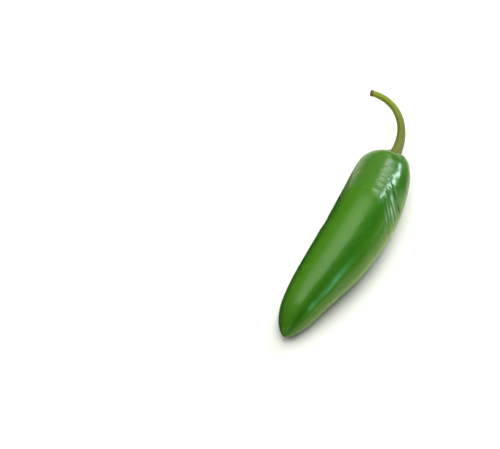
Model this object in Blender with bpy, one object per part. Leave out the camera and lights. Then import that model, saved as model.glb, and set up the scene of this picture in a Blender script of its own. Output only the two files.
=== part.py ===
"""A green jalapeno-type chilli pepper, as picked: the pod with its calyx and its curled stem, lying on one side.

The origin is under the middle of the whole object's box, on the surface it rests on. +X runs along the pod from
the tip to the stem, +Y is the side that the pod and the stem curl towards, and +Z is up. Metres throughout.
"""

import bpy
import numpy as np

# The pod. "Along" is the fraction of the way from the tip, 0, to the stem end, 1.
POD_LENGTH = 0.0993
POD_RADIUS = 0.01405
WIDEST_ALONG = 0.65
TIP_TAPER = 0.0089
TIP_TAPER_POWER = 1.84
SHOULDER_TAPER = 0.0029
SHOULDER_TAPER_POWER = 1.92
TIP_CAP_LENGTH = 0.0125
SHOULDER_CAP_LENGTH = 0.0117
SHOULDER_SQUARENESS = 2.94
LOBE_COUNT = 3
LOBE_DEPTH = 0.012
POD_RINGS = 49
POD_SIDES = 48

# Which way the pod's middle line heads, in degrees from +X: at mid-length, and how that changes along it.
HEADING_AT_MIDDLE = -3.3
HEADING_TURN = 40.5
HEADING_HOOK = 53.6
HEADING_EASE = -152.4

# The stem end of the pod: a shallow hollow, set a little to the -Y side, where the calyx sits.
HOLLOW_DEPTH = 0.0022
HOLLOW_RADIUS = 0.0080
HOLLOW_OFFSET = -0.0020
OFFSET_DONE_BY = 0.35

# The calyx: a thin five-cornered dish with a round knob that carries the stem.
CALYX_RADIUS = 0.0062
CALYX_CORNERS = 5
CALYX_CORNER_REACH = 0.08
CALYX_THICKNESS = 0.0009
KNOB_RADIUS = 0.0030
KNOB_TOP = 0.0008
CALYX_SIDES = 40

# The stem, measured from the middle of the hollow along its own middle line.
STEM_LENGTH = 0.0406
STEM_HEADING = 2.3
STEM_CURL = 112.7
STEM_CURL_POWER = 1.6
STEM_RISE = 0.0065
STEM_RISE_POWER = 1.3
STEM_RADIUS = 0.00170
STEM_FLARE = 0.0010
STEM_FLARE_LENGTH = 0.0058
STEM_TAPER = 0.00032
STEM_RIDGES = 5
STEM_RIDGE_DEPTH = 0.05
STEM_SQUARED_LENGTH = 0.0060
STEM_RINGS = 26
STEM_SIDES = 20

# The room left between pieces that touch.
GAP = 0.0003

FINE_STEPS = 2001
UP = np.array([0.0, 0.0, 1.0])


def smooth_step(value):
    """0 below 0, 1 above 1, and an S-curve between them."""
    held = np.clip(value, 0.0, 1.0)
    return held * held * (3.0 - 2.0 * held)


def turn_of(sides):
    """The angles of one turn, without the repeated last one."""
    return np.arange(sides) * 2.0 * np.pi / sides


def walk(headings, steps):
    """The points of a path on the ground that starts at 0, 0 and takes each step in the mean of two headings."""
    middles = (headings[1:] + headings[:-1]) / 2.0
    eastward = np.append(0.0, np.cumsum(steps * np.cos(middles)))
    northward = np.append(0.0, np.cumsum(steps * np.sin(middles)))
    return eastward, northward


# ---- The pod ----


def body_radius(along):
    """The pod's radius without its rounded ends: widest at one place, less towards the tip and the shoulder."""
    to_tip = np.clip((WIDEST_ALONG - along) / WIDEST_ALONG, 0.0, 1.0)
    to_shoulder = np.clip((along - WIDEST_ALONG) / (1.0 - WIDEST_ALONG), 0.0, 1.0)
    tapered = TIP_TAPER * to_tip**TIP_TAPER_POWER + SHOULDER_TAPER * to_shoulder**SHOULDER_TAPER_POWER
    return POD_RADIUS - tapered


def tip_rounding(along):
    """The share of the body's radius that the tip's quarter ellipse leaves."""
    into_cap = np.clip(1.0 - along * POD_LENGTH / TIP_CAP_LENGTH, 0.0, 1.0)
    return np.sqrt(1.0 - into_cap**2)


def shoulder_rounding(along):
    """The share of the body's radius that the shoulder leaves: a quarter of a squarer ellipse."""
    into_cap = np.clip(1.0 - (1.0 - along) * POD_LENGTH / SHOULDER_CAP_LENGTH, 0.0, 1.0)
    return (1.0 - into_cap**SHOULDER_SQUARENESS) ** (1.0 / SHOULDER_SQUARENESS)


def pod_radius(along):
    return body_radius(along) * tip_rounding(along) * shoulder_rounding(along)


def pod_heading(along):
    """The direction of the middle line on the ground, in radians: a cubic of the distance from mid-length."""
    past = along - 0.5
    return np.radians(HEADING_AT_MIDDLE + past * (HEADING_TURN + past * (HEADING_HOOK + past * HEADING_EASE)))


def middle_line(along):
    """X and Y of the middle line, from the tip."""
    fine = np.linspace(0.0, 1.0, FINE_STEPS)
    x, y = walk(pod_heading(fine), POD_LENGTH / (FINE_STEPS - 1))
    return np.interp(along, fine, x), np.interp(along, fine, y)


def pod_skin(along, around):
    """Points of the skin. Along and around broadcast together, and around is 0 at the +Y side, a quarter turn up.

    A ring lies across the middle line, at a height that puts its underside on the ground, and slides sideways
    towards the hollow as the shoulder closes. The hollow pulls the rings near it back along the end's axis.
    """
    x, y = middle_line(along)
    heading = pod_heading(along)
    slide = HOLLOW_OFFSET * smooth_step((1.0 - shoulder_rounding(along)) / OFFSET_DONE_BY)
    radius = pod_radius(along) * (1.0 - LOBE_DEPTH * np.cos(LOBE_COUNT * (around + np.pi / 2.0)))
    sideways = slide + radius * np.cos(around)
    near_end = np.clip(pod_radius(along) / HOLLOW_RADIUS, 0.0, 1.0)
    sunk = np.where(along > 0.5, HOLLOW_DEPTH * (0.5 + 0.5 * np.cos(np.pi * near_end)), 0.0)
    height = body_radius(along) * (1.0 - LOBE_DEPTH) + radius * np.sin(around)
    across = np.stack([-np.sin(heading), np.cos(heading)], axis=-1)
    ground = np.stack([x, y], axis=-1) + sideways[..., None] * across - sunk[..., None] * end_axis()[:2]
    return np.concatenate([ground, height[..., None]], axis=-1)


def end_axis():
    """The direction in which the pod's stem end faces."""
    heading = float(pod_heading(np.array(1.0)))
    return np.array([np.cos(heading), np.sin(heading), 0.0])


def end_centre():
    """The middle of the stem end, as if it had no hollow."""
    return pod_skin(np.array([1.0]), np.array([0.0]))[0] + HOLLOW_DEPTH * end_axis()


def pod_rings():
    along = (1.0 - np.cos(np.linspace(0.0, np.pi, POD_RINGS))) / 2.0
    return pod_skin(along[:, None], turn_of(POD_SIDES)[None, :])


# ---- The calyx ----


def along_at_radius(radius):
    """How far along the pod its stem end has narrowed to this radius."""
    fine = np.linspace(1.0, WIDEST_ALONG, FINE_STEPS)
    return np.interp(radius, pod_radius(fine), fine)


def calyx_profile():
    """The dish's outline from the middle of its underside, round the rim, to the middle of the knob's top.

    Each row is a share of the calyx's radius, the height over its underside as a share of its thickness, and how
    far it has come up the knob, from 0 on the dish to 1 on the knob's top.
    """
    knob = KNOB_RADIUS / CALYX_RADIUS
    underside = [(0.0, 0.0, 0.0), (0.3, 0.0, 0.0), (0.55, 0.0, 0.0), (0.8, 0.0, 0.0), (0.96, 0.0, 0.0)]
    rim = [(1.0, 0.3, 0.0), (1.0, 0.8, 0.0), (0.96, 1.05, 0.0)]
    top = [(0.8, 0.9, 0.0), (0.62, 0.9, 0.0), (knob * 1.2, 1.0, 0.1)]
    stalk = [(knob * 1.05, 1.0, 0.35), (knob, 1.0, 0.8), (knob * 0.94, 1.0, 1.0), (0.0, 1.0, 1.0)]
    return np.array(underside + rim + top + stalk)


def calyx_rings():
    share, lift, up_knob = (column[:, None] for column in calyx_profile().T)
    around = turn_of(CALYX_SIDES)[None, :]
    corners = 1.0 + CALYX_CORNER_REACH * share**3 * np.cos(CALYX_CORNERS * around)
    seat = pod_skin(along_at_radius(CALYX_RADIUS * share * corners), around)
    level = (seat - end_centre()) @ end_axis()
    dish = GAP + CALYX_THICKNESS * lift
    height = dish + up_knob * (KNOB_TOP - level - dish)
    return seat + height[..., None] * end_axis()


# ---- The stem ----


def stem_rings():
    """A five-ridged tube along a path that curls to +Y and climbs a little, closed flat at its cut end.

    The first rings lie flat on the knob, and turn square to the path within a short length.
    """
    fine = np.linspace(0.0, 1.0, FINE_STEPS)
    headings = np.radians(STEM_HEADING + STEM_CURL * fine**STEM_CURL_POWER)
    x, y = walk(headings, STEM_LENGTH / (FINE_STEPS - 1))
    path = end_centre() + np.stack([x, y, STEM_RISE * fine**STEM_RISE_POWER], axis=1)

    start = (KNOB_TOP + GAP) / STEM_LENGTH
    along = np.linspace(start, 1.0, STEM_RINGS)
    middle = np.stack([np.interp(along, fine, axis) for axis in path.T], axis=1)
    forward = np.gradient(middle, axis=0)
    forward /= np.linalg.norm(forward, axis=1)[:, None]
    squared = smooth_step((along - start) * STEM_LENGTH / STEM_SQUARED_LENGTH)[:, None]
    forward = end_axis() + squared * (forward - end_axis())
    sideways = np.cross(UP, forward)
    sideways /= np.linalg.norm(sideways, axis=1)[:, None]
    upward = np.cross(forward, sideways)
    upward /= np.linalg.norm(upward, axis=1)[:, None]

    around = turn_of(STEM_SIDES)
    flare = STEM_FLARE * np.exp(-(along - start) * STEM_LENGTH / STEM_FLARE_LENGTH)
    plain = (STEM_RADIUS + flare - STEM_TAPER * along)[:, None]
    radius = plain * (1.0 + STEM_RIDGE_DEPTH * np.cos(STEM_RIDGES * around))
    ring = sideways[:, None] * np.cos(around)[:, None] + upward[:, None] * np.sin(around)[:, None]
    return middle[:, None] + radius[..., None] * ring


# ---- Meshes and materials ----


def with_flat_ends(rings):
    """The same rings with both end rings drawn in to their middles, which closes a tube."""
    first = np.broadcast_to(rings[0].mean(axis=0), rings[0].shape)
    last = np.broadcast_to(rings[-1].mean(axis=0), rings[-1].shape)
    return np.concatenate([first[None], rings, last[None]])


def add_closed_skin(name, rings, material, sharp_degrees):
    """A mesh object from rings of points whose first and last rings are each a single point."""
    count, sides = rings.shape[:2]
    points = np.concatenate([rings[:1, 0], rings[1:-1].reshape(-1, 3), rings[-1:, 0]])
    last = len(points) - 1
    here = np.arange(sides)
    after = (here + 1) % sides
    faces = [(0, 1 + b, 1 + a) for a, b in zip(here, after)]
    for ring in range(count - 3):
        low = 1 + ring * sides
        high = low + sides
        faces += [(low + a, low + b, high + b, high + a) for a, b in zip(here, after)]
    top = last - sides
    faces += [(top + a, top + b, last) for a, b in zip(here, after)]
    mesh = bpy.data.meshes.new(name)
    mesh.from_pydata(points.tolist(), [], [[int(corner) for corner in face] for face in faces])
    mesh.materials.append(material)
    mesh.shade_smooth()
    mesh.set_sharp_from_angle(angle=np.radians(sharp_degrees))
    piece = bpy.data.objects.new(name, mesh)
    bpy.context.scene.collection.objects.link(piece)
    return piece


def plain_material(name, colour, roughness):
    material = bpy.data.materials.new(name)
    material.use_nodes = True
    shader = material.node_tree.nodes["Principled BSDF"]
    shader.inputs["Base Color"].default_value = (*colour, 1.0)
    shader.inputs["Roughness"].default_value = roughness
    shader.inputs["Metallic"].default_value = 0.0
    return material


def pod_material():
    """Waxy dark green skin."""
    return plain_material("pod_skin", (0.075, 0.225, 0.020), 0.22)


def calyx_material():
    """Duller green, drier than the pod."""
    return plain_material("calyx_green", (0.130, 0.200, 0.045), 0.55)


def stem_material():
    """Olive to yellow-green."""
    return plain_material("stem_green", (0.215, 0.270, 0.055), 0.50)


def box_middle(point_sets):
    """The middle, on the ground, of the box round all the points."""
    points = np.concatenate([rings.reshape(-1, 3) for rings in point_sets])
    middle = (points.min(axis=0) + points.max(axis=0)) / 2.0
    return np.array([middle[0], middle[1], points[:, 2].min()])


for leftover in list(bpy.data.objects):
    bpy.data.objects.remove(leftover, do_unlink=True)

pod = pod_rings()
calyx = calyx_rings()
stem = with_flat_ends(stem_rings())
origin = box_middle([pod, calyx, stem])

add_closed_skin("pod", pod - origin, pod_material(), 60.0)
add_closed_skin("calyx", calyx - origin, calyx_material(), 50.0)
add_closed_skin("stem", stem - origin, stem_material(), 50.0)
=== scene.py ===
import bpy
import numpy as np
from mathutils import Matrix, Vector


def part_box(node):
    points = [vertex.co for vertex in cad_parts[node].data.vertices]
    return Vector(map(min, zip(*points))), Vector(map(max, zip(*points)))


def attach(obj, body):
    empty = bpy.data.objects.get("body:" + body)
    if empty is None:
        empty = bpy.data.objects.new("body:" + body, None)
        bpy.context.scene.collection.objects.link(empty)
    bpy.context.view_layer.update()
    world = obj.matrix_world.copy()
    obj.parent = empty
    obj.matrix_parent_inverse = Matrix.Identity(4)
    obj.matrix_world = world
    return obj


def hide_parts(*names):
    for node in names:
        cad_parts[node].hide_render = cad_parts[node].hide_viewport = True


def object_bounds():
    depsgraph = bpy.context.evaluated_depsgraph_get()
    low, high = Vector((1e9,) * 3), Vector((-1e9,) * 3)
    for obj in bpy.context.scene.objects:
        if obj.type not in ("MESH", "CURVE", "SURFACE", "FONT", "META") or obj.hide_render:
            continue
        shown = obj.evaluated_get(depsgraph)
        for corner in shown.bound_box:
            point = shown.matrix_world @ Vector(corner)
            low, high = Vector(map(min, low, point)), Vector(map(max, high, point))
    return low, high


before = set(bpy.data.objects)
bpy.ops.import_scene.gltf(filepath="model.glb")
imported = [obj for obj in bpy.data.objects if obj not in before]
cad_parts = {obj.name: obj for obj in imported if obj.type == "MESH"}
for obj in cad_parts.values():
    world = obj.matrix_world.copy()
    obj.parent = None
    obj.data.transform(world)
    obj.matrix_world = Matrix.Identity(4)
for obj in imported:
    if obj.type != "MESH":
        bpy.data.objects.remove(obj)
cad_low, cad_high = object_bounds()


# ---- Pod ----
# The fruit: a hollow, thick-walled berry with a tight waxy skin, grown in one piece. Its skin is smooth
# along the body, and gathers into fine wrinkles and one fold on the shoulder, where it has begun to dry.

POD_LENGTH = 0.0993
POD_RADIUS = 0.01405
WIDEST_ALONG = 0.65
TIP_TAPER, TIP_TAPER_POWER = 0.0089, 1.84
SHOULDER_TAPER, SHOULDER_TAPER_POWER = 0.0029, 1.92
TIP_CAP, SHOULDER_CAP, SHOULDER_SQUARENESS = 0.0125, 0.0117, 2.94
LOBE_COUNT, LOBE_DEPTH = 3, 0.012
HEADING = (-3.3, 40.5, 53.6, -152.4)
HOLLOW_DEPTH, HOLLOW_RADIUS, HOLLOW_OFFSET, OFFSET_DONE_BY = 0.0022, 0.0080, -0.0020, 0.35
POD_RINGS, POD_SIDES = 350, 276
LINE_STEPS = 2000
CAD_RINGS = 181


def s_curve(value):
    """0 below 0, 1 above 1, and a smooth S between them."""
    held = np.clip(value, 0.0, 1.0)
    return held * held * (3.0 - 2.0 * held)


def span(value, low, rise, high, fall):
    """0 outside two values and 1 between them, after an S that rises and before one that falls."""
    return s_curve((value - low) / rise) * s_curve((high - value) / fall)


def hump(value, middle, width):
    """A bell of height 1 round a middle, down to 0.61 one width away."""
    return np.exp(-0.5 * ((value - middle) / width) ** 2)


def path_on_ground(headings, step):
    """Points reached by steps of one length, each in the mean of two neighbouring headings."""
    mean = (headings[1:] + headings[:-1]) / 2.0
    ways = np.stack([np.cos(mean), np.sin(mean)], axis=1)
    return np.concatenate([np.zeros((1, 2)), np.cumsum(step * ways, axis=0)])


def body_radius(along):
    """The widest radius, less a power of the distance towards the tip or towards the shoulder."""
    to_tip = np.clip(1.0 - along / WIDEST_ALONG, 0.0, 1.0)
    to_shoulder = np.clip((along - WIDEST_ALONG) / (1.0 - WIDEST_ALONG), 0.0, 1.0)
    radius = POD_RADIUS - TIP_TAPER * to_tip**TIP_TAPER_POWER
    return radius - SHOULDER_TAPER * to_shoulder**SHOULDER_TAPER_POWER


def shoulder_share(along):
    """The share of the radius left by the shoulder: a quarter of a squarish ellipse."""
    into = np.clip(1.0 - (1.0 - along) * POD_LENGTH / SHOULDER_CAP, 0.0, 1.0)
    return (1.0 - into**SHOULDER_SQUARENESS) ** (1.0 / SHOULDER_SQUARENESS)


def pod_radius(along):
    """The body's radius, closed at the tip by a quarter ellipse and at the other end by the shoulder."""
    into_tip = np.clip(1.0 - along * POD_LENGTH / TIP_CAP, 0.0, 1.0)
    return body_radius(along) * np.sqrt(1.0 - into_tip**2) * shoulder_share(along)


def pod_heading(along):
    """The middle line's direction on the ground: a cubic of the distance from mid-length, in radians."""
    past = along - 0.5
    return np.radians(HEADING[0] + past * (HEADING[1] + past * (HEADING[2] + past * HEADING[3])))


def pod_middle(along):
    """Points of the middle line on the ground, stepped out along its headings."""
    fine = np.linspace(0.0, 1.0, LINE_STEPS + 1)
    line = path_on_ground(pod_heading(fine), POD_LENGTH / LINE_STEPS)
    return np.stack([np.interp(along, fine, line[:, axis]) for axis in (0, 1)], axis=-1)


def pod_form(along, around):
    """The smooth skin. Each ring stands across the middle line, as high as its radius, so that it rests on
    the ground. Rings slide towards the hollow as the shoulder closes, and the hollow draws the last ones
    back."""
    heading = pod_heading(along)
    across = np.stack([-np.sin(heading), np.cos(heading)], axis=-1)
    slide = HOLLOW_OFFSET * s_curve((1.0 - shoulder_share(along)) / OFFSET_DONE_BY)
    radius = pod_radius(along) * (1.0 - LOBE_DEPTH * np.cos(LOBE_COUNT * (around + np.pi / 2.0)))
    near = np.clip(pod_radius(along) / HOLLOW_RADIUS, 0.0, 1.0)
    sunk = np.where(along > 0.5, HOLLOW_DEPTH * (0.5 + 0.5 * np.cos(np.pi * near)), 0.0)
    ground = pod_middle(along) + (slide + radius * np.cos(around))[..., None] * across
    ground = ground - sunk[..., None] * END_WAY[:2]
    height = body_radius(along) * (1.0 - LOBE_DEPTH) + radius * np.sin(around)
    return np.concatenate([ground, height[..., None]], axis=-1)


END_HEADING = float(pod_heading(np.array(1.0)))
END_WAY = np.array([np.cos(END_HEADING), np.sin(END_HEADING), 0.0])
TURN = np.linspace(0.0, 2.0 * np.pi, POD_SIDES, endpoint=False)

# The form starts from its own tip, and is then set where the CAD pod lies.
rings = (1.0 - np.cos(np.linspace(0.0, np.pi, CAD_RINGS))) / 2.0
plain = pod_form(rings[:, None], TURN[None, :])
PLACE = np.array(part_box("pod")[0]) - plain.reshape(-1, 3).min(axis=0)


def ripples(first, second, waves, seed):
    """A sum of sine waves over two coordinates. Each has its own direction, a start drawn from the seed, and
    a whole number of turns round the second coordinate, so that it closes on itself."""
    draw = np.random.default_rng(seed)
    total = np.zeros(np.broadcast(first, second).shape)
    for lengthwise, sidewise in waves:
        start = draw.uniform(0.0, 2.0 * np.pi)
        total = total + np.sin(lengthwise * first * 2.0 * np.pi + sidewise * second + start)
    return total / len(waves)


# Heights, widths and offsets are in metres, and places along the pod are shares of its length. Angles run
# round the pod from its +Y side, over the top.
FOLD_ALONG, FOLD_CLIMB, FOLD_BEND = 0.695, 0.089, 1.8
FOLD_LEVEL, FOLD_TURN = np.radians(173.0), np.radians(62.0)
FOLD_FROM, FOLD_TO = np.radians(106.0), np.radians(186.0)
GROOVE_DEPTH, GROOVE_WIDTH, GROOVE_BEADS = 0.00038, 0.00036, 17.0
LIP_HEIGHT, LIP_OFF, LIP_WIDTH = 0.00013, 0.0017, 0.0012
PLEAT_HEIGHT, PLEAT_OFF, PLEAT_WIDTH = 0.00031, -0.0062, 0.0036
PLEAT_SPACING, PLEAT_SEED = 0.016, 23
PLEAT_WAVES = [(3.4, 2), (4.3, -3), (5.6, 4), (7.1, -2), (2.7, 5)]
STRETCH_OFF = -0.0056
BROAD_CREASE, FINE_CREASE, CRUMPLE_HEIGHT = 0.000100, 0.000068, 0.00013
WRINKLE_HEIGHT, WRINKLE_SPACING = 0.00013, 0.010
SWELL_HEIGHT, LUMP_HEIGHT, FAINT_RIB_HEIGHT = 0.00012, 0.00007, 0.000016
WAIST_DEPTH, WAIST_BULGE = 0.00020, 0.00016


def fold_line(around):
    """How far along the pod the shoulder's fold lies at each angle: it runs back from the ridge by a power
    of the angle, and levels out."""
    turned = np.clip((FOLD_LEVEL - around) / FOLD_TURN, 0.0, 1.2)
    return FOLD_ALONG + FOLD_CLIMB * turned**FOLD_BEND


def off_fold(along, around):
    """The distance from the fold line, towards the shoulder."""
    return (along - fold_line(around)) * POD_LENGTH


def pleats(off, around):
    """Waves over the distance from the fold line, for what runs beside the fold."""
    return ripples(off / PLEAT_SPACING, around, PLEAT_WAVES, PLEAT_SEED)


def fold(along, around):
    """A narrow groove along the fold line, with a low lip on its shoulder side and uneven pleats on its tip
    side."""
    off = off_fold(along, around)
    groove = -GROOVE_DEPTH * hump(off, 0.0, GROOVE_WIDTH) * (0.75 + 0.25 * np.sin(around * GROOVE_BEADS))
    lip = LIP_HEIGHT * hump(off, LIP_OFF, LIP_WIDTH)
    pleated = -PLEAT_HEIGHT * np.maximum(pleats(off, around), -0.12) * hump(off, PLEAT_OFF, PLEAT_WIDTH)
    return span(around, FOLD_FROM, 0.30, FOLD_TO, 0.50) * (groove + lip + pleated)


def stretch_marks_and_glints(along, around):
    """Where the skin has healed pale in stretch marks, on the raised strips between the pleats on the fold's
    tip side, with a painted highlight on those strips.
    """
    off = off_fold(along, around)
    reach = span(around, np.radians(119.0), 0.20, np.radians(164.0), 0.30)
    between_pleats = s_curve((0.12 - pleats(off, around)) / 0.48)
    broken = 0.6 + 0.4 * ripples(along, around, [(3.0, 11), (5.0, -14), (8.0, 17)], 29)
    return reach * between_pleats * broken * hump(off, STRETCH_OFF, PLEAT_WIDTH)


def gathers(along, around):
    """Fine creases that run round the shoulder, deepest along its ridge and fading down both sides."""
    on_ridge = hump(around, np.radians(99.0), 0.21) + 0.35 * hump(around, np.radians(60.0), 0.40)
    broad = ripples(along, around, [(23.0, 2), (29.0, -3), (37.0, 4), (31.0, 1)], 31)
    fine = ripples(along, around, [(61.0, 5), (74.0, -6), (83.0, 3), (95.0, -4), (68.0, 9)], 37)
    crumpled = ripples(along, around, [(9.0, 3), (13.0, -5), (17.0, 7), (11.0, -8), (7.0, 4)], 43)
    creases = np.minimum(broad, 0.15) * BROAD_CREASE + np.minimum(fine, 0.10) * FINE_CREASE
    return (creases + crumpled * CRUMPLE_HEIGHT) * on_ridge * span(along, 0.68, 0.07, 0.95, 0.04)


def side_wrinkles(along, around):
    """A few slanting wrinkles on the +Y side of the shoulder."""
    slant = (along - 0.745) * POD_LENGTH / WRINKLE_SPACING - (around - np.radians(42.0))
    place = hump(along, 0.748, 0.060) * hump(around, np.radians(38.0), 0.26)
    uneven = ripples(slant, around, [(1.1, 1), (1.6, 2), (2.2, -3), (1.9, -2)], 41)
    return WRINKLE_HEIGHT * np.minimum(uneven, 0.16) * place


def unevenness(along, around):
    """Slow swells and lumps over the whole pod, a shallow waist on its +Y side, and faint ribs along it."""
    swells = ripples(along, around, [(1.3, 1), (2.1, 2), (2.9, 1), (3.7, 3), (5.1, 2)], 11)
    lumps = ripples(along, around, [(6.3, 2), (7.9, -3), (9.4, 1), (5.6, 4), (11.0, 3)], 13)
    waist = WAIST_BULGE * hump(along, 0.455, 0.030) - WAIST_DEPTH * hump(along, 0.530, 0.040)
    ribs = ripples(along, around, [(0.6, 9), (0.9, 13), (0.4, 17), (1.1, 22)], 5)
    slow = SWELL_HEIGHT * swells + LUMP_HEIGHT * lumps
    return slow + waist * hump(around, np.radians(15.0), 0.50) + FAINT_RIB_HEIGHT * ribs


def ring_places(count):
    """Fractions along the pod: close at both ends, and twice as close over the wrinkled shoulder."""
    even = np.linspace(0.0, 1.0, 4001)
    ends = 1.0 / np.sqrt(even * (1.0 - even) + 0.0004)
    density = ends + 2.4 * span(even, 0.62, 0.06, 0.96, 0.05)
    total = np.append(0.0, np.cumsum((density[1:] + density[:-1]) / 2.0))
    return np.interp(np.linspace(0.0, 1.0, count), total / total[-1], even)


def outward(points):
    """Unit normals of a closed ring grid, from the cross product of its two directions."""
    lengthwise = np.gradient(points, axis=0)
    sidewise = np.roll(points, -1, axis=1) - np.roll(points, 1, axis=1)
    normals = np.cross(lengthwise, sidewise)
    return -normals / np.maximum(np.linalg.norm(normals, axis=2), 1e-12)[..., None]


def in_a_row(grid):
    """A ring grid's values one after another. The first and last rings are single points, taken once."""
    return np.concatenate([grid[:1, 0], *grid[1:-1], grid[-1:, 0]])


def skin_mesh(name, grid, lengthwise, around, marks):
    """A closed mesh from a grid of rings whose first and last rings are single points. Marks are named
    values over the same grid, kept on the vertices for the material. So is each vertex's place on the piece
    as if it were straight: its distance along, and its ring's radius turned by its angle."""
    count, sides = grid.shape[:2]
    radius = np.linalg.norm(grid - grid.mean(axis=1, keepdims=True), axis=2)
    straight = [lengthwise + 0.0 * radius, radius * np.cos(around), radius * np.sin(around)]
    here = np.arange(sides)
    after = (here + 1) % sides
    low = 1 + np.arange(count - 3)[:, None] * sides
    corners = [low + here, low + after, low + sides + after, low + sides + here]
    quads = np.stack(corners, axis=-1).reshape(-1, 4)
    last = 1 + (count - 2) * sides
    first_fan = np.stack([np.zeros_like(here), 1 + after, 1 + here], axis=1)
    last_fan = np.stack([last - sides + here, last - sides + after, np.full_like(here, last)], axis=1)
    mesh = bpy.data.meshes.new(name)
    mesh.from_pydata(in_a_row(grid), [], first_fan.tolist() + quads.tolist() + last_fan.tolist())
    for label, values in marks.items():
        layer = mesh.attributes.new(label, "FLOAT", "POINT")
        values = in_a_row(np.broadcast_to(values, radius.shape))
        layer.data.foreach_set("value", values.astype(np.float32))
    layer = mesh.attributes.new("straight", "FLOAT_VECTOR", "POINT")
    layer.data.foreach_set("vector", in_a_row(np.stack(straight, axis=2)).astype(np.float32).ravel())
    mesh.shade_smooth()
    piece = bpy.data.objects.new(name, mesh)
    bpy.context.scene.collection.objects.link(piece)
    return piece


# How deep a groove or crease is before its painted shade is full.
PAINTED_SHADE_DEPTH = 0.00030

along = ring_places(POD_RINGS)[:, None]
around = TURN[None, :]
smooth = pod_form(along, around) + PLACE
calm_ends = span(along, 0.0, 0.06, 1.0, 0.03)
raised = fold(along, around) + gathers(along, around) + side_wrinkles(along, around)
raised = (raised + unevenness(along, around)) * calm_ends
dressed = smooth + raised[..., None] * outward(smooth)
dressed[..., 2] = np.maximum(dressed[..., 2], cad_low.z)
# Painted light and shade: the top and +Y side are painted yellow-green as if lit from overhead, the far side
# partly so as if lit by the board, and the band between them deep green as painted shade.
painted_light_side = span(around, np.radians(26.0), 0.50, np.radians(117.0), 0.45)
painted_bounce_side = span(around, np.radians(116.0), 0.35, np.radians(250.0), 1.0)
painted_bounce_side = painted_bounce_side * (1.0 - 0.8 * s_curve((along - 0.68) / 0.12))
pod_marks = {
    "painted_light_side": painted_light_side + 0.62 * painted_bounce_side,
    "near_calyx": s_curve((along - 0.90) / 0.10),
    "near_tip": s_curve((0.16 - along) / 0.16),
    # Painted shade, deeper as the fold's groove and the shoulder's creases sink.
    "painted_fold_shade": s_curve(-(fold(along, around) + 0.5 * gathers(along, around)) / PAINTED_SHADE_DEPTH),
    # A painted sheen over the shoulder half, left off the side near 140 degrees round.
    "painted_sheen": s_curve((along - 0.56) / 0.30) * (1.0 - 0.9 * hump(around, np.radians(140.0), 0.42)),
    # Pale stretch marks, partly painted as highlights on the strips between the pleats.
    "stretched_and_glinting": stretch_marks_and_glints(along, around),
}
pod_skin = skin_mesh("pod_skin", dressed, along * POD_LENGTH, around, pod_marks)


def new_group(name, inputs, outputs):
    """An empty shader node group with named sockets: inputs as name to default, outputs as names."""
    group = bpy.data.node_groups.new(name, "ShaderNodeTree")
    for label, default in inputs.items():
        kind = "NodeSocketVector" if default is None else "NodeSocketFloat"
        socket = group.interface.new_socket(label, in_out="INPUT", socket_type=kind)
        if default is not None:
            socket.default_value = default
    for label in outputs:
        group.interface.new_socket(label, in_out="OUTPUT", socket_type="NodeSocketFloat")
    entry = group.nodes.new("NodeGroupInput")
    leave = group.nodes.new("NodeGroupOutput")
    return group, entry, leave


def node(tree, kind, values=None, **settings):
    """A new node with its settings and inputs filled in: a socket is linked, anything else is a value."""
    made = tree.nodes.new(kind)
    for setting, value in settings.items():
        setattr(made, setting, value)
    for label, value in (values or {}).items():
        if isinstance(value, bpy.types.NodeSocket):
            tree.links.new(value, made.inputs[label])
        else:
            made.inputs[label].default_value = value
    return made


def noise(tree, where, scale, detail, roughness=0.5):
    """Cloudy noise at a scale, as a value round one half."""
    values = {"Vector": where, "Scale": scale, "Detail": detail, "Roughness": roughness}
    return node(tree, "ShaderNodeTexNoise", values).outputs["Fac"]


def maths(tree, operation, first, second, clamp=False):
    """One sum of two values, by the name of its operation."""
    values = {0: first, 1: second}
    return node(tree, "ShaderNodeMath", values, operation=operation, use_clamp=clamp).outputs[0]


def times(tree, first, second):
    """The product of two values."""
    return maths(tree, "MULTIPLY", first, second)


def between(tree, value, low, high, out_low=0.0, out_high=1.0):
    """A value carried from one range to another, held at the ends, along an S."""
    ranges = {"Value": value, "From Min": low, "From Max": high, "To Min": out_low, "To Max": out_high}
    return node(tree, "ShaderNodeMapRange", ranges, interpolation_type="SMOOTHSTEP").outputs["Result"]


def mixed(tree, share, first, second):
    """Two colours mixed by a share."""
    mix = node(tree, "ShaderNodeMix", data_type="RGBA")
    for place, value in ((0, share), (6, first), (7, second)):
        if isinstance(value, bpy.types.NodeSocket):
            tree.links.new(value, mix.inputs[place])
        else:
            mix.inputs[place].default_value = value if place == 0 else (*value, 1.0)
    return mix.outputs[2]


def tinted(tree, colour, share, amount, tint):
    """A colour turned towards a tint by a share times an amount."""
    return mixed(tree, times(tree, share, amount), colour, tint)


def mark(tree, name):
    """A value kept on the piece's vertices."""
    return node(tree, "ShaderNodeAttribute", attribute_name=name).outputs["Fac"]


def mottle_group():
    """Plant tissue: slow clouds of colour, and small pale flecks where breathing pores show through the
    wax."""
    inputs = {"Where": None, "Cloud Scale": 60.0, "Fleck Scale": 900.0}
    group, entry, leave = new_group("plant_mottle", inputs, ["Cloud", "Fleck"])
    where = entry.outputs["Where"]
    cloud = noise(group, where, 1.0, 3.0, 0.55)
    group.links.new(entry.outputs["Cloud Scale"], cloud.node.inputs["Scale"])
    cells = node(group, "ShaderNodeTexVoronoi", {"Vector": where, "Scale": entry.outputs["Fleck Scale"]})
    dots = between(group, cells.outputs["Distance"], 0.10, 0.34, 1.0, 0.0)
    some = between(group, cells.outputs["Color"], 0.45, 0.75)
    group.links.new(between(group, cloud, 0.32, 0.68), leave.inputs["Cloud"])
    group.links.new(times(group, dots, some), leave.inputs["Fleck"])
    return group


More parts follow.
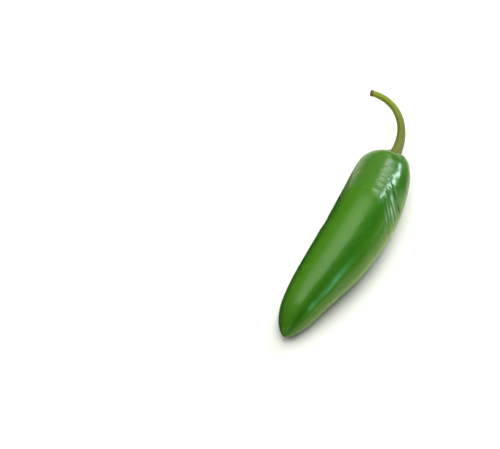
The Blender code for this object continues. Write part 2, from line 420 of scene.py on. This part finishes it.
def grain_group():
    """The height of a skin's fine grain: a soft dimpling with a finer tooth on it."""
    inputs = {"Where": None, "Scale": 700.0, "Tooth": 0.25}
    group, entry, leave = new_group("plant_grain", inputs, ["Height"])
    soft = noise(group, entry.outputs["Where"], 1.0, 1.0, 0.4)
    fine = noise(group, entry.outputs["Where"], 1.0, 2.0, 0.6)
    group.links.new(entry.outputs["Scale"], soft.node.inputs["Scale"])
    group.links.new(times(group, entry.outputs["Scale"], 4.3), fine.node.inputs["Scale"])
    toothed = times(group, fine, entry.outputs["Tooth"])
    group.links.new(maths(group, "ADD", soft, toothed), leave.inputs["Height"])
    return group


MOTTLE = mottle_group()
GRAIN = grain_group()


def placed_group(tree, group, where, **values):
    """One of the shared groups, set into a material with its own values."""
    made = node(tree, "ShaderNodeGroup", node_tree=group)
    tree.links.new(where, made.inputs["Where"])
    for label, value in values.items():
        made.inputs[label.replace("_", " ")].default_value = value
    return made.outputs


def new_material(name):
    """A material with its node tree, its shader and a place to lay patterns by."""
    material = bpy.data.materials.new(name)
    material.use_nodes = True
    tree = material.node_tree
    where = node(tree, "ShaderNodeTexCoord").outputs["Object"]
    return material, tree, tree.nodes["Principled BSDF"], where


def straightened(tree, squeeze):
    """A place on the piece as if it were straight, with distances along it squeezed to draw patterns out."""
    place = node(tree, "ShaderNodeAttribute", attribute_name="straight").outputs["Vector"]
    squeezed = {"Vector": place, "Scale": (squeeze, 1.0, 1.0)}
    return node(tree, "ShaderNodeMapping", squeezed).outputs["Vector"]


# The first two greens are the pod's painted shade and painted light.
PAINTED_SHADE_GREEN, PAINTED_LIT_GREEN = (0.0140, 0.114, 0.0008), (0.054, 0.198, 0.0065)
STREAK_GREEN, PORE_GREEN = (0.060, 0.190, 0.008), (0.12, 0.28, 0.03)
# The first green here is a painted sheen.
PAINTED_SHEEN_GREEN, DULL_END_GREEN, TIP_GREEN = (0.062, 0.150, 0.030), (0.075, 0.130, 0.035), (0.022, 0.095, 0.003)
# The pale is partly a painted highlight; the dark is painted shade for crevices.
PALE_MARK_AND_GLINT, PAINTED_CREVICE_SHADE = (0.40, 0.58, 0.46), (0.007, 0.030, 0.003)
WAX_IOR = 1.46


def waxed_skin():
    """Deep green flesh under a clear skin: painted yellow-green where light falls on the top, the +Y side and
    the far side, with painted shade between, faint streaks along the pod, pale pores, a dull painted sheen
    towards the shoulder, pale stretch marks partly painted as highlights, painted shade in the fold and
    creases, and a thin coat of wax over it."""
    material, tree, shader, where = new_material("waxed_skin")
    mottle = placed_group(tree, MOTTLE, where, Cloud_Scale=55.0, Fleck_Scale=700.0)
    streak = between(tree, noise(tree, straightened(tree, 0.10), 420.0, 3.0, 0.6), 0.35, 0.70)
    # Painted light and shade: yellow-green on the lit top, +Y side and far side, deep green in the painted
    # shade band between, broken up by the clouds.
    painted_lighting = times(tree, mark(tree, "painted_light_side"), 0.88)
    painted_lighting = maths(tree, "ADD", painted_lighting, times(tree, mottle["Cloud"], 0.14), clamp=True)
    green = mixed(tree, painted_lighting, PAINTED_SHADE_GREEN, PAINTED_LIT_GREEN)
    green = tinted(tree, green, streak, 0.16, STREAK_GREEN)
    green = tinted(tree, green, mottle["Fleck"], 0.09, PORE_GREEN)
    # Painted sheen: the shoulder half is turned towards a paler, bluer green in cloudy patches.
    sheen_patchiness = between(tree, mottle["Cloud"], 0.0, 1.0, 0.40, 0.66)
    green = tinted(tree, green, mark(tree, "painted_sheen"), sheen_patchiness, PAINTED_SHEEN_GREEN)
    green = tinted(tree, green, mark(tree, "near_calyx"), 0.30, DULL_END_GREEN)
    green = tinted(tree, green, mark(tree, "near_tip"), 0.25, TIP_GREEN)
    # Pale stretch marks, painted a bluish pale as highlights where the strips catch the light.
    green = tinted(tree, green, mark(tree, "stretched_and_glinting"), 0.90, PALE_MARK_AND_GLINT)
    # Painted shade: nearly black green down in the fold's groove and the creases.
    green = tinted(tree, green, mark(tree, "painted_fold_shade"), 0.88, PAINTED_CREVICE_SHADE)
    tree.links.new(green, shader.inputs["Base Color"])
    dull = between(tree, mottle["Cloud"], 0.0, 1.0, 0.26, 0.33)
    tree.links.new(dull, shader.inputs["Roughness"])
    shader.inputs["IOR"].default_value = WAX_IOR
    shader.inputs["Specular IOR Level"].default_value = 0.25
    shader.inputs["Coat Weight"].default_value = 0.55
    shader.inputs["Coat Roughness"].default_value = 0.10
    shader.inputs["Coat IOR"].default_value = WAX_IOR
    grain = placed_group(tree, GRAIN, where, Scale=520.0, Tooth=0.18)
    bump = node(tree, "ShaderNodeBump", {"Height": grain["Height"], "Strength": 0.14, "Distance": 0.00008})
    tree.links.new(bump.outputs["Normal"], shader.inputs["Normal"])
    return material


pod_skin.data.materials.append(waxed_skin())
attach(pod_skin, "root")
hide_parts("pod")


# ---- Calyx ----
# What is left of the flower under the fruit: a thin leathery dish with five blunt corners, grown to the
# shoulder's hollow. Its rim has dried and curled, ribs run from the corners to the middle, and a raised knob
# carries the stem.

CALYX_RADIUS = 0.0062
CALYX_CORNERS, CALYX_CORNER_REACH = 5, 0.08
CALYX_THICKNESS = 0.0009
KNOB_RADIUS, KNOB_TOP = 0.0030, 0.0008
CALYX_SIDES = 240
KNOB_FOOT, KNOB_FLAT = 1.18, 0.96
RIM_STARTS, LOWEST_SHARE, DISHED_BY = 0.96, 0.70, 0.22
RIB_HEIGHT, CRINKLE_HEIGHT, CURL_HEIGHT = 0.00011, 0.00005, 0.00012
GAP = 0.0003

END_CENTRE = pod_form(np.array([1.0]), np.array([0.0]))[0] + PLACE + HOLLOW_DEPTH * END_WAY


def along_at_radius(radius):
    """How far along the pod its shoulder has closed in to a radius."""
    fine = np.linspace(1.0, WIDEST_ALONG, LINE_STEPS + 1)
    return np.interp(radius, pod_radius(fine), fine)


def calyx_outline():
    """Steps from the underside's middle, out round the curled rim, and in over the top to the knob's
    middle. Each is a share of the radius, a share of the thickness, and how far it has climbed to the
    knob's flat top."""
    knob = KNOB_RADIUS / CALYX_RADIUS
    under = np.linspace(0.0, RIM_STARTS, 14)
    bend = np.linspace(-np.pi / 2.0, np.pi / 2.0, 11)[1:-1]
    over = np.linspace(RIM_STARTS, knob * KNOB_FOOT, 34)
    climb = np.linspace(0.0, 1.0, 12)[1:]
    flat = np.linspace(knob * KNOB_FLAT, 0.0, 9)[1:]
    round_rim = RIM_STARTS + (1.0 - RIM_STARTS) * np.cos(bend)
    up_knob = knob * (KNOB_FOOT - (KNOB_FOOT - KNOB_FLAT) * climb)
    share = np.concatenate([under, round_rim, over, up_knob, flat])
    from_lowest = (over - LOWEST_SHARE) / (RIM_STARTS - LOWEST_SHARE)
    dished = 1.0 - DISHED_BY + DISHED_BY * from_lowest**2
    full = 1.0 + 0.0 * np.concatenate([climb, flat])
    lift = np.concatenate([0.0 * under, 0.5 + 0.5 * np.sin(bend), dished, full])
    climbed = np.concatenate([0.0 * under, 0.0 * bend, 0.0 * over, s_curve(climb), 1.0 + 0.0 * flat])
    return share[:, None], lift[:, None], climbed[:, None]


share, lift, climbed = calyx_outline()
around = np.linspace(0.0, 2.0 * np.pi, CALYX_SIDES, endpoint=False)[None, :]
on_top = s_curve((lift - 0.3) / 0.3)
rim = s_curve((share - 0.80) / 0.16)
cornered = np.cos(CALYX_CORNERS * around)
wavy = 1.0 + 0.018 * ripples(share, around, [(0.0, 7), (0.0, 11), (0.0, 17), (0.0, 23)], 61) * share**4
corners = (1.0 + CALYX_CORNER_REACH * share**3 * cornered) * wavy
seat = pod_form(along_at_radius(CALYX_RADIUS * share * corners), around + 0.0 * share) + PLACE
level = (seat - END_CENTRE) @ END_WAY
ribs = np.maximum(cornered, 0.0) ** 6 + 0.5 * np.maximum(-cornered, 0.0) ** 8
ribbing = ribs * s_curve((share - 0.52) / 0.10) * (1.0 - rim)
crinkles = ripples(share, around, [(3.1, 9), (4.7, -13), (6.3, 19), (2.2, 29)], 67)
curls = ripples(share, around, [(0.0, 5), (0.0, 8), (0.0, 13)], 71)
relief = RIB_HEIGHT * ribbing + CRINKLE_HEIGHT * crinkles * (1.0 - climbed) + CURL_HEIGHT * rim * curls
dish = GAP + CALYX_THICKNESS * lift + relief * on_top
height = dish + climbed * (KNOB_TOP - level - dish)
rings = seat + height[..., None] * END_WAY
dryness = np.maximum(rim, 0.55 * hump(share, KNOB_RADIUS / CALYX_RADIUS * 1.08, 0.05)) * on_top
calyx_marks = {"dryness": dryness[:, ::-1], "ribbing": ribbing[:, ::-1]}
calyx_leaf = skin_mesh("calyx_leaf", rings[:, ::-1], share * CALYX_RADIUS, around[:, ::-1], calyx_marks)

LEAF_GREENS = (0.050, 0.085, 0.018), (0.085, 0.125, 0.030)
CORK_BROWNS = (0.130, 0.068, 0.026), (0.240, 0.150, 0.065)
RIB_GREEN = (0.150, 0.180, 0.055)


def dried_calyx():
    """Dull green leather that has gone corky and orange-brown at its rim, with paler ribs."""
    material, tree, shader, where = new_material("dried_calyx")
    mottle = placed_group(tree, MOTTLE, where, Cloud_Scale=420.0, Fleck_Scale=2600.0)
    worn = maths(tree, "ADD", mark(tree, "dryness"), times(tree, mottle["Cloud"], 0.35))
    dried = between(tree, worn, 0.25, 0.95)
    green = mixed(tree, mottle["Cloud"], *LEAF_GREENS)
    green = tinted(tree, green, mark(tree, "ribbing"), 0.55, RIB_GREEN)
    cork = mixed(tree, mottle["Fleck"], *CORK_BROWNS)
    tree.links.new(mixed(tree, dried, green, cork), shader.inputs["Base Color"])
    tree.links.new(between(tree, dried, 0.0, 1.0, 0.52, 0.80), shader.inputs["Roughness"])
    grain = placed_group(tree, GRAIN, where, Scale=2400.0, Tooth=0.5)
    bump = node(tree, "ShaderNodeBump", {"Height": grain["Height"], "Strength": 0.5, "Distance": 0.00010})
    tree.links.new(bump.outputs["Normal"], shader.inputs["Normal"])
    return material


calyx_leaf.data.materials.append(dried_calyx())
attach(calyx_leaf, "root")
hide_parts("calyx")


# ---- Stem ----
# The stalk that held the fruit: tough green fibre with five soft edges along it, grown out of the calyx's
# knob in a widening foot. It was cut or snapped from the plant, and the end has dried brown.

STEM_LENGTH = 0.0406
STEM_HEADING, STEM_CURL, STEM_CURL_POWER = 2.3, 112.7, 1.6
STEM_RISE, STEM_RISE_POWER = 0.0065, 1.3
STEM_RADIUS, STEM_TAPER = 0.00186, 0.00050
STEM_FLARE, STEM_FLARE_LENGTH = 0.0012, 0.0074
STEM_EDGES, STEM_EDGE_DEPTH = 5, 0.06
STEM_LUMPS, STEM_FIBRES = 0.030, 0.010
END_SWELLS, NECK_SHRINKS = 0.07, 0.05
STEM_SQUARED = 0.0060
STEM_TWIST = 0.5
STEM_RINGS, STEM_SIDES = 300, 90
FOOT_SUNK = 0.0002
CUT_DISH, PITH_HEIGHT, PITH_WIDTH = 0.00035, 0.00016, 0.22
CUT_SHARES = np.array([0.97, 0.91, 0.82, 0.68, 0.50, 0.30, 0.12, 0.0])


def stem_line(along):
    """The stem's middle and its forward direction. It starts along the pod's end, curls round on the ground
    plan by a power of its length, and climbs by another."""
    fine = np.linspace(0.0, 1.0, LINE_STEPS + 1)
    headings = np.radians(STEM_HEADING + STEM_CURL * fine**STEM_CURL_POWER)
    ground = path_on_ground(headings, STEM_LENGTH / LINE_STEPS)
    path = END_CENTRE + np.concatenate([ground, (STEM_RISE * fine**STEM_RISE_POWER)[:, None]], axis=1)
    ways = np.gradient(path, axis=0)
    ways = ways / np.linalg.norm(ways, axis=1, keepdims=True)
    middle = np.stack([np.interp(along, fine, path[:, axis]) for axis in range(3)], axis=1)
    forward = np.stack([np.interp(along, fine, ways[:, axis]) for axis in range(3)], axis=1)
    return middle, forward


def unit(ways):
    """Directions brought to a length of 1."""
    return ways / np.linalg.norm(ways, axis=-1, keepdims=True)


start = (KNOB_TOP - FOOT_SUNK) / STEM_LENGTH
along = start + (1.0 - start) * np.linspace(0.0, 1.0, STEM_RINGS) ** 1.15
middle, forward = stem_line(along)
squared = s_curve((along - start) * STEM_LENGTH / STEM_SQUARED)[:, None]
forward = unit(END_WAY + squared * (forward - END_WAY))
sideways = unit(np.cross(np.array([0.0, 0.0, 1.0]), forward))
upward = np.cross(forward, sideways)
around = np.linspace(0.0, 2.0 * np.pi, STEM_SIDES, endpoint=False)[None, :]
along = along[:, None]
turned = around + STEM_TWIST * along
flare = STEM_FLARE * np.exp(-(along - start) * STEM_LENGTH / STEM_FLARE_LENGTH)
plain = STEM_RADIUS + flare - STEM_TAPER * along
edges = np.cos(STEM_EDGES * turned) + 0.22 * np.cos(2.0 * STEM_EDGES * turned)
lumps = STEM_LUMPS * ripples(along, around, [(2.3, 1), (3.9, 2), (6.1, -1), (9.7, 3), (14.0, 2)], 83)
fibres = STEM_FIBRES * ripples(along, around, [(1.0, 14), (1.7, 19), (0.6, 23), (2.2, 17)], 89)
swollen = END_SWELLS * hump(along, 0.985, 0.014) - NECK_SHRINKS * hump(along, 0.945, 0.018)
shape = 1.0 + STEM_EDGE_DEPTH * edges + lumps + fibres + swollen
radius = plain * shape
spokes = sideways[:, None] * np.cos(around)[..., None] + upward[:, None] * np.sin(around)[..., None]
tube = middle[:, None] + radius[..., None] * spokes
sink = CUT_DISH * s_curve((0.95 - CUT_SHARES) / 0.35) - PITH_HEIGHT * hump(CUT_SHARES, 0.0, PITH_WIDTH)
end_ring = tube[-1] - middle[-1]
cut_face = middle[-1] + CUT_SHARES[:, None, None] * end_ring - sink[:, None, None] * forward[-1]
foot = np.broadcast_to(middle[0], (1, STEM_SIDES, 3))
rings = np.concatenate([foot, tube, cut_face])
reach = np.concatenate([along[:1], along, np.ones((len(CUT_SHARES), 1))])
ridge = np.concatenate([edges[:1], edges, np.repeat(edges[-1:], len(CUT_SHARES), axis=0)])
cut = np.concatenate([0.0 * along[:1], s_curve((along - 0.955) / 0.03), 1.0 + 0.0 * CUT_SHARES[:, None]])
lee = 0.5 + 0.5 * np.cos(around - np.radians(205.0)) + 0.0 * reach
stem_marks = {"reach": reach, "ridge": 0.5 + 0.4 * ridge, "cut": cut, "lee": lee}
stem_stalk = skin_mesh("stem_stalk", rings, reach * STEM_LENGTH, around, stem_marks)

FOOT_GREEN, FRESH_GREEN = (0.118, 0.158, 0.012), (0.250, 0.350, 0.010)
EDGE_GREEN, LINE_GREEN = (0.215, 0.265, 0.040), (0.060, 0.078, 0.010)
FOOT_BROWN, SCUFF_BROWN = (0.115, 0.072, 0.042), (0.050, 0.032, 0.018)
WOOD_BROWNS = (0.075, 0.040, 0.016), (0.190, 0.120, 0.055)


def stem_rind():
    """Green rind over fibre: olive near the foot and brown there on its lower right side, fresh yellow-green
    towards the cut, paler along its edges, drawn out in fine lines, with dark scuffs and a dry brown end."""
    material, tree, shader, where = new_material("stem_rind")
    mottle = placed_group(tree, MOTTLE, where, Cloud_Scale=260.0, Fleck_Scale=1500.0)
    line = between(tree, noise(tree, straightened(tree, 0.06), 1900.0, 3.0, 0.6), 0.35, 0.68)
    fresh = between(tree, mark(tree, "reach"), 0.35, 0.92)
    rind = mixed(tree, fresh, FOOT_GREEN, FRESH_GREEN)
    rind = tinted(tree, rind, mark(tree, "ridge"), 0.50, EDGE_GREEN)
    rind = tinted(tree, rind, line, 0.42, LINE_GREEN)
    # Browner on the lower right side, towards the foot.
    brown = between(tree, mark(tree, "reach"), 0.70, 0.10)
    brown = times(tree, brown, between(tree, mark(tree, "lee"), 0.35, 0.95))
    rind = tinted(tree, rind, brown, 0.75, FOOT_BROWN)
    scuff = between(tree, noise(tree, straightened(tree, 0.35), 900.0, 4.0, 0.7), 0.56, 0.69)
    low = between(tree, mark(tree, "reach"), 0.30, 0.04, 0.12, 1.0)
    rind = tinted(tree, rind, scuff, low, SCUFF_BROWN)
    wood = mixed(tree, mottle["Cloud"], *WOOD_BROWNS)
    ragged = maths(tree, "ADD", mark(tree, "cut"), times(tree, line, 0.3))
    edge = between(tree, ragged, 0.45, 0.85)
    tree.links.new(mixed(tree, edge, rind, wood), shader.inputs["Base Color"])
    tree.links.new(between(tree, edge, 0.0, 1.0, 0.46, 0.85), shader.inputs["Roughness"])
    shader.inputs["Specular IOR Level"].default_value = 0.22
    grain = placed_group(tree, GRAIN, straightened(tree, 0.15), Scale=2600.0, Tooth=0.5)
    bump = node(tree, "ShaderNodeBump", {"Height": grain["Height"], "Strength": 0.45, "Distance": 0.00008})
    tree.links.new(bump.outputs["Normal"], shader.inputs["Normal"])
    return material


stem_stalk.data.materials.append(stem_rind())
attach(stem_stalk, "root")
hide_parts("stem")


# ---- Floor ----
# A broad sheet of white board, smooth and matt, that the pepper lies on. It isn't part of the pepper.

FLOOR_RADIUS, FLOOR_SIDES = 3.0, 64
BOARD_WHITES = (0.86, 0.86, 0.85), (0.88, 0.88, 0.87)
# What the wax sees of the board: a painted bounce by the tip, painted shade by the stem, and dark far off.
MIRRORED_BOUNCE_BY_TIP, MIRRORED_SHADE_BY_STEM, MIRRORED_FAR = (0.84, 0.86, 0.52), (0.58, 0.64, 0.46), (0.16, 0.17, 0.10)


def white_board():
    """Matt white, and washed out to plain white far from the pepper, as a backdrop is. What the wax mirrors
    of it is a painted reflection: yellower by the tip, as painted bounce light from the pepper, darker by the
    stem, as painted shade, and dark further off, where a real sheet of board would end."""
    material, tree, shader, where = new_material("white_board")
    tone = between(tree, noise(tree, where, 30.0, 2.0), 0.3, 0.7)
    white = mixed(tree, tone, *BOARD_WHITES)
    shader.inputs["Roughness"].default_value = 0.9
    shader.inputs["Specular IOR Level"].default_value = 0.1
    away = node(tree, "ShaderNodeVectorMath", {0: where}, operation="LENGTH").outputs["Value"]
    rays = node(tree, "ShaderNodeLightPath").outputs
    lengthwise = node(tree, "ShaderNodeSeparateXYZ", {"Vector": where}).outputs["X"]
    # Painted reflection: glossy rays see the board yellower by the tip as painted bounce light, darker by the
    # stem as painted shade, and dark far off.
    mirrored = mixed(tree, between(tree, lengthwise, 0.0, 0.04), MIRRORED_BOUNCE_BY_TIP, MIRRORED_SHADE_BY_STEM)
    mirrored = mixed(tree, between(tree, away, 0.06, 0.30), mirrored, MIRRORED_FAR)
    tree.links.new(mixed(tree, rays["Is Glossy Ray"], white, mirrored), shader.inputs["Base Color"])
    washed = times(tree, between(tree, away, 0.20, 0.80), rays["Is Camera Ray"])
    tree.links.new(washed, shader.inputs["Emission Strength"])
    shader.inputs["Emission Color"].default_value = (1.0, 1.0, 1.0, 1.0)
    return material


turn = np.linspace(0.0, 2.0 * np.pi, FLOOR_SIDES, endpoint=False)
edge = np.stack([np.cos(turn), np.sin(turn), 0.0 * turn], axis=1) * FLOOR_RADIUS
edge[:, 2] = cad_low.z
board_mesh = bpy.data.meshes.new("board")
board_mesh.from_pydata(edge.tolist(), [], [list(range(FLOOR_SIDES))])
board_mesh.materials.append(white_board())
board = bpy.data.objects.new("board", board_mesh)
bpy.context.scene.collection.objects.link(board)


# ---- Dark cards ----
# Two bent strips of dark card that the wax mirrors, lying on the board and turned up at their outer edges.
# The long one, beside the pod's +Y side, keeps that edge deep green, and the short one darkens the shoulder's
# other edge. Only the wax sees them, and they aren't part of the pepper.

CARD_START, CARD_END, CARD_STEPS = -0.20, 1.02, 60
CARD_LIES, CARD_STANDS, CARD_BEND = 0.034, 0.030, 0.010
CARD_LIFT = 0.0002
CARD_PALE_FROM, CARD_PALE_OVER = 0.83, 0.15
SCREEN_FOOT, SCREEN_HALF, SCREEN_LIES, SCREEN_TOP = (0.082, -0.039), 0.024, 0.033, 0.022
SCREEN_SIDEWAYS, SCREEN_OUTWARD = np.array([0.667, 0.745]), np.array([0.745, -0.667])
CARD_DARKS, CARD_PALE = ((0.010, 0.030, 0.004), (0.016, 0.040, 0.006)), (0.22, 0.27, 0.10)


def card_material():
    """Nearly black green, and paler where the pod's edge is lighter."""
    material, tree, shader, where = new_material("dark_card")
    tone = between(tree, noise(tree, where, 40.0, 2.0), 0.3, 0.7)
    dark = mixed(tree, tone, *CARD_DARKS)
    paler = mixed(tree, between(tree, mark(tree, "pale"), 0.0, 1.0), dark, CARD_PALE)
    tree.links.new(paler, shader.inputs["Base Color"])
    shader.inputs["Roughness"].default_value = 0.8
    return material


DARK_CARD = card_material()


def hidden_card(name, points, faces, pale):
    """A card that the camera doesn't see, and that neither lights nor shades anything."""
    mesh = bpy.data.meshes.new(name)
    mesh.from_pydata(points, [], faces)
    mesh.attributes.new("pale", "FLOAT", "POINT").data.foreach_set("value", np.array(pale, np.float32))
    mesh.materials.append(DARK_CARD)
    made = bpy.data.objects.new(name, mesh)
    bpy.context.scene.collection.objects.link(made)
    made.visible_camera = False
    made.visible_diffuse = False
    made.visible_shadow = False
    return made


card_along = np.linspace(CARD_START, CARD_END, CARD_STEPS)
on_pod = np.clip(card_along, 0.0, 1.0)
heading = pod_heading(on_pod)
onward = np.stack([np.cos(heading), np.sin(heading)], axis=1)
middle = pod_middle(on_pod) + (card_along - on_pod)[:, None] * POD_LENGTH * onward + PLACE[:2]
outward_way = np.stack([-np.sin(heading), np.cos(heading)], axis=1)
bend = np.linspace(0.0, np.pi / 2.0, 9)
away = np.concatenate([[0.0], CARD_LIES + CARD_BEND * np.sin(bend), [CARD_LIES + CARD_BEND]])
rise = cad_low.z + CARD_LIFT + np.concatenate([[0.0], CARD_BEND * (1.0 - np.cos(bend)), [CARD_STANDS]])
ground = middle[:, None] + away[None, :, None] * outward_way[:, None]
strip = np.concatenate([ground, np.broadcast_to(rise[:, None], (*ground.shape[:2], 1))], axis=2)
count, width = strip.shape[:2]
low = (np.arange(count - 1)[:, None] * width + np.arange(width - 1)).ravel()
quads = np.stack([low, low + 1, low + width + 1, low + width], axis=1)
pale = np.repeat(np.clip((card_along - CARD_PALE_FROM) / CARD_PALE_OVER, 0.0, 1.0), width)
card = hidden_card("card", strip.reshape(-1, 3).tolist(), quads.tolist(), pale)

half = SCREEN_SIDEWAYS * SCREEN_HALF
ends = np.array([SCREEN_FOOT - half, SCREEN_FOOT + half])
low, high = cad_low.z + CARD_LIFT, cad_low.z + SCREEN_TOP
points = [(*end, low) for end in ends - SCREEN_OUTWARD * SCREEN_LIES]
points += [(*end, level) for level in (low, high) for end in ends]
screen = hidden_card("screen", points, [(0, 1, 3, 2), (2, 3, 5, 4)], (1.0, 1.0, 0.4, 0.4, 0.0, 0.0))


# ---- Camera and light ----
# The camera looks down on the pepper from the tip's side, with a short telephoto lens. One broad soft panel
# hangs overhead to the left, and windows behind and to the right draw the highlights. One fill lights the
# pepper only, and another the board only, so that the shadow stays soft and pale.

CAMERA_DISTANCE = 0.502
CAMERA_ELEVATION = np.radians(58.0)
CAMERA_HEADING = np.radians(30.2)
LENS_ANGLE = np.radians(25.0)
AIM = Vector((-0.0200, 0.0382, 0.0))

ahead = Vector((np.cos(CAMERA_HEADING), np.sin(CAMERA_HEADING), 0.0))
aside = Vector((ahead.y, -ahead.x, 0.0))
back = -ahead * np.cos(CAMERA_ELEVATION) + Vector((0.0, 0.0, np.sin(CAMERA_ELEVATION)))
camera_data = bpy.data.cameras.new("camera")
camera_data.sensor_fit = "HORIZONTAL"
camera_data.angle = LENS_ANGLE
camera_data.clip_start = 0.01
camera = bpy.data.objects.new("camera", camera_data)
camera.location = AIM + back * CAMERA_DISTANCE
camera.rotation_mode = "QUATERNION"
camera.rotation_quaternion = (-back).to_track_quat("-Z", "Y")
bpy.context.scene.collection.objects.link(camera)
bpy.context.scene.camera = camera

LIGHT_CENTRE = Vector((0.0, 0.0, 0.012))


def feather(data, soft):
    """Dims a panel's light towards its edges. Soft gives the share of its width, then of its height, over
    which it fades at each of the two ends."""
    data.use_nodes = True
    tree = data.node_tree
    place = node(tree, "ShaderNodeNewGeometry").outputs["Parametric"]
    across = node(tree, "ShaderNodeSeparateXYZ", {"Vector": place}).outputs
    shares = [between(tree, across[0], 0.0, soft[0]), between(tree, across[0], 1.0, 1.0 - soft[1])]
    shares += [between(tree, across[1], 0.0, soft[2]), between(tree, across[1], 1.0, 1.0 - soft[3])]
    total = times(tree, times(tree, *shares[:2]), times(tree, *shares[2:]))
    tree.links.new(total, tree.nodes["Emission"].inputs["Strength"])


def panel(name, bearing, elevation, distance, size, radiance, colour, soft=(0.05,) * 4, unseen=""):
    """A soft panel that faces the pepper, upright. Bearing is in degrees to the right of straight ahead, and
    radiance is how bright its face is: an area light of one watt per square metre has a radiance of 1 over
    pi. Unseen names what it leaves out: diffuse light, or glossy reflections."""
    swing, lift = np.radians(bearing), np.radians(elevation)
    way = (ahead * np.cos(swing) + aside * np.sin(swing)) * np.cos(lift) + Vector((0.0, 0.0, np.sin(lift)))
    data = bpy.data.lights.new(name, "AREA")
    data.shape = "RECTANGLE"
    data.size, data.size_y = size
    data.energy = radiance * np.pi * size[0] * size[1]
    data.color = colour
    feather(data, soft)
    light = bpy.data.objects.new(name, data)
    light.location = LIGHT_CENTRE + way * distance
    right = Vector((0.0, 0.0, 1.0)).cross(way).normalized()
    light.rotation_mode = "QUATERNION"
    light.rotation_quaternion = Matrix((right, way.cross(right), way)).transposed().to_quaternion()
    light.visible_camera = False
    light.visible_glossy = unseen != "glossy"
    light.visible_diffuse = unseen != "diffuse"
    bpy.context.scene.collection.objects.link(light)
    return light


def keep_to(light, pieces):
    """Keeps a light to some of the pieces."""
    receivers = bpy.data.collections.new(light.name + "_receivers")
    for piece in pieces:
        receivers.objects.link(piece)
    light.light_linking.receiver_collection = receivers


WARM, NEUTRAL, COOL, TEAL = (1.0, 0.99, 0.92), (0.98, 1.0, 0.94), (0.80, 1.0, 0.97), (0.25, 1.0, 0.85)
panel("overhead", -60.0, 66.0, 1.2, (1.9, 2.0), 2.15, WARM, soft=(0.3, 0.22, 0.62, 0.12))
panel("window", 36.0, 35.0, 1.3, (0.94, 0.85), 5.3, NEUTRAL, soft=(0.60, 0.28, 0.25, 0.2))
panel("window_edge", 59.5, 22.0, 1.3, (0.13, 0.95), 17.5, COOL, unseen="diffuse")
panel("far_window", 131.0, 20.0, 1.5, (0.44, 0.80), 5.5, TEAL, soft=(0.45,) * 4, unseen="diffuse")
panel("low_edge", 53.5, 5.0, 1.3, (0.12, 0.26), 12.0, COOL, soft=(0.2, 0.2, 0.3, 0.3), unseen="diffuse")
panel("low_right", 90.0, 6.0, 1.4, (0.70, 0.24), 1.1, NEUTRAL, unseen="diffuse")
panel("front", -165.0, 16.0, 1.4, (0.80, 0.40), 0.8, NEUTRAL)
right_fill = panel("right_fill", 90.0, 60.0, 1.6, (1.4, 1.2), 2.6, NEUTRAL, unseen="glossy")
board_light = panel("board_light", 60.0, 84.0, 1.6, (1.1, 1.1), 3.4, NEUTRAL, unseen="glossy")
keep_to(right_fill, (pod_skin, calyx_leaf, stem_stalk))
keep_to(board_light, (board,))

ROOM_LIGHT, ROOM_MIRRORED = 0.20, 0.04
world = bpy.data.worlds.new("room")
world.use_nodes = True
bpy.context.scene.world = world
room = world.node_tree
sky = room.nodes["Background"]
sky.inputs["Color"].default_value = (1.0, 1.0, 1.0, 1.0)
rays = node(room, "ShaderNodeLightPath").outputs
seen = times(room, rays["Is Camera Ray"], 1.0 - ROOM_LIGHT)
mirrored = times(room, rays["Is Glossy Ray"], ROOM_LIGHT - ROOM_MIRRORED)
strength = maths(room, "SUBTRACT", maths(room, "ADD", ROOM_LIGHT, seen), mirrored)
room.links.new(strength, sky.inputs["Strength"])
bpy.context.scene.view_settings.view_transform = "Standard"
